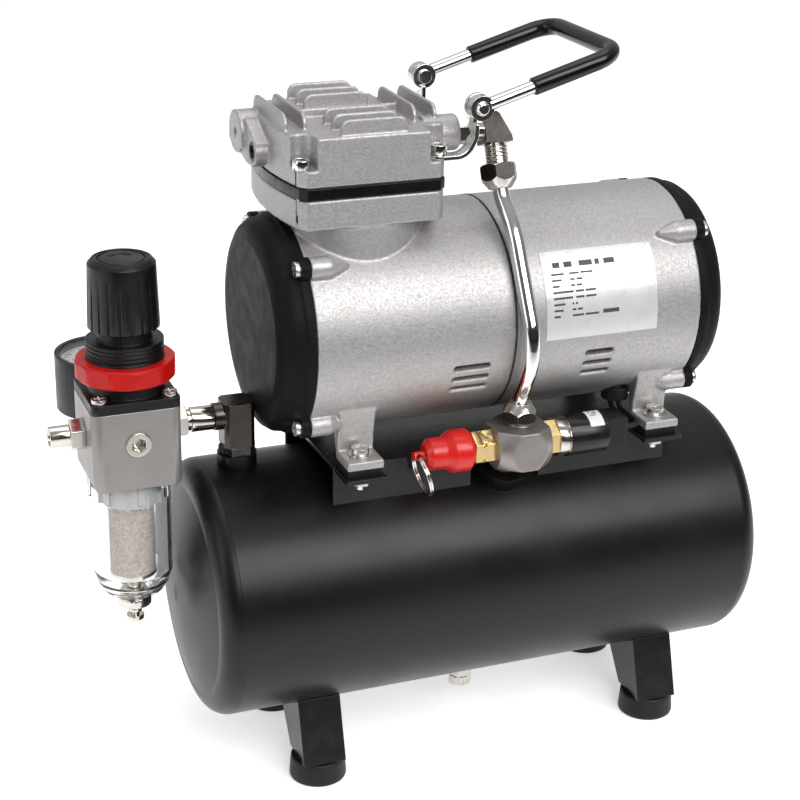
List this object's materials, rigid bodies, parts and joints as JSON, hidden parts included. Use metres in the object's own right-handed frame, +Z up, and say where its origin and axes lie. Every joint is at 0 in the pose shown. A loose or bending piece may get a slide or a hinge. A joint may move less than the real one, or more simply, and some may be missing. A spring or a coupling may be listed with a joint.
{
  "type": "airbrush compressor",
  "caption": "Small piston air compressor on a horizontal air tank with feet, folding carry handle, filter regulator, gauge, safety valve and pressure switch.",
  "frame": {"origin": "on the floor, under the middle of the whole machine's outline", "axes": "+X along the tank from the regulator end to the fan end, +Y from the pipe side to the gauge side, +Z up"},
  "size_m": [0.3358, 0.129, 0.3371],
  "materials": {
    "tank_paint": "gloss black enamel",
    "port_steel": "black enamel and nickel",
    "nickel": "nickel plate",
    "bracket_paint": "gloss black enamel",
    "foot_rubber": "matte",
    "zinc": "zinc plate",
    "saddle_paint": "satin black enamel",
    "cast_silver": "silver paint on sand-textured casting",
    "cover_plastic": "satin",
    "laminations": "bare laminations",
    "copper": "enamelled wire",
    "shaft_steel": "ground",
    "fan_plastic": "moulded",
    "die_cast": "as cast",
    "piston_ptfe": "filled fluoropolymer cup under a metal disc",
    "gasket": "fibre-rubber sheet",
    "plate_black": "black anodised",
    "bolt_chrome": "bright plate",
    "grip_vinyl": "soft vinyl",
    "dark_nickel": "dark nickel plate",
    "tube_chrome": "bright plate",
    "manifold_grey": "grey die casting",
    "brass": "turned",
    "cap_red": "moulded",
    "switch_black": "moulded",
    "lead_pvc": "PVC sheath",
    "label_silver": "blank printed film",
    "body_satin": "satin anodised",
    "bonnet_black": "moulded",
    "ring_red": "moulded",
    "screw_brass": "turned",
    "spring_steel": "wire and pressed seat",
    "valve_rubber": "moulded",
    "bowl_clear": "clear moulded bowl",
    "baffle_white": "moulded",
    "element_sinter": "porous",
    "gauge_black": "satin black",
    "dial_white": "printed dial",
    "needle_red": "painted",
    "gauge_glass": "flat lens"
  },
  "bodies": {
    "compressor": {"tank_shell": "tank_paint", "tank_ends": "tank_paint", "tank_ports": "port_steel", "port_fittings": "nickel", "filter_post": "nickel", "bowl_drain_seat": "nickel", "foot_brackets": "bracket_paint", "rubber_feet": "foot_rubber", "mount_pads": "foot_rubber", "cable_grommets": "foot_rubber", "mounting_fasteners": "zinc", "pan_head_screws": "zinc", "motor_brackets": "saddle_paint", "crankcase": "cast_silver", "motor_casing": "cast_silver", "cylinder_head": "cast_silver", "left_end_cover": "cover_plastic", "right_end_cover": "cover_plastic", "stator_core": "laminations", "stator_windings": "copper", "shaft_bearings": "shaft_steel", "cylinder_sleeve": "die_cast", "head_gaskets": "gasket", "valve_plate": "plate_black", "head_bolts": "bolt_chrome", "handle_brackets": "bolt_chrome", "outlet_fittings": "dark_nickel", "inlet_fittings": "dark_nickel", "discharge_tube": "tube_chrome", "manifold": "manifold_grey", "brass_adapters": "brass", "gauge_stem": "brass", "pressure_switch": "switch_black", "switch_lead": "lead_pvc", "labels": "label_silver", "regulator_body": "body_satin", "regulator_bonnet": "bonnet_black", "red_ring_nut": "ring_red", "regulator_spring": "spring_steel", "regulator_valve": "valve_rubber", "filter_bowl": "bowl_clear", "filter_baffle": "baffle_white", "filter_element": "element_sinter", "gauge_case": "gauge_black", "gauge_dial": "dial_white", "gauge_lens": "gauge_glass"},
    "handle": {"handle_bail": "bolt_chrome", "handle_grip": "grip_vinyl"},
    "adjuster": {"adjusting_screw": "screw_brass"},
    "knob": {"regulator_knob": "bonnet_black"},
    "needle": {"gauge_needle": "needle_red"},
    "tank_drain": {"drain_screw": "nickel"},
    "bowl_drain": {"bowl_drain_stem": "nickel"},
    "safety_cap": {"safety_valve_cap": "cap_red"},
    "pull_ring": {"safety_ring": "bolt_chrome"},
    "rotor": {"crankshaft": "shaft_steel", "rotor_core": "laminations", "cooling_fan": "fan_plastic"},
    "piston": {"connecting_rod": "die_cast", "piston_head": "piston_ptfe"}
  },
  "joints": [
    {"name": "handle_fold", "type": "hinge", "parent": "compressor", "child": "handle", "pos_m": [0.0161, -0.00297, 0.3135], "axis": [0, 1, 0], "range_deg": [-150, 58]},
    {"name": "knob_turn", "type": "hinge", "parent": "compressor", "child": "adjuster", "pos_m": [-0.1329, -0.00297, 0.23], "axis": [0, 0, 1], "range_deg": [-1080, 1080]},
    {"name": "knob_lift", "type": "slide", "parent": "adjuster", "child": "knob", "axis": [0, 0, 1], "range_m": [0, 0.004]},
    {"name": "gauge_swing", "type": "hinge", "parent": "compressor", "child": "needle", "pos_m": [-0.1329, 0.04253, 0.19], "axis": [0, 0, 1], "range_deg": [-270, 0]},
    {"name": "tank_drain_turn", "type": "hinge", "parent": "compressor", "child": "tank_drain", "pos_m": [0.0306, -0.00297, 0.018], "axis": [0, 0, 1], "range_deg": [0, 720]},
    {"name": "bowl_drain_push", "type": "slide", "parent": "compressor", "child": "bowl_drain", "axis": [0, 0, 1], "range_m": [0, 0.0022], "stiffness_N_per_m": 300},
    {"name": "safety_pull", "type": "slide", "parent": "compressor", "child": "safety_cap", "axis": [-1, 0, 0], "range_m": [0, 0.003], "stiffness_N_per_m": 600},
    {"name": "pull_ring_swing", "type": "hinge", "parent": "safety_cap", "child": "pull_ring", "pos_m": [-0.0145, -0.05097, 0.1625], "axis": [0, 1, 0], "range_deg": [0, 50]},
    {"name": "rotor_spin", "type": "hinge", "parent": "compressor", "child": "rotor", "pos_m": [0.0306, -0.00297, 0.2143], "axis": [1, 0, 0], "continuous": true},
    {"name": "piston_stroke", "type": "slide", "parent": "compressor", "child": "piston", "axis": [0, 0, 1], "range_m": [-0.016, 0]}
  ]
}
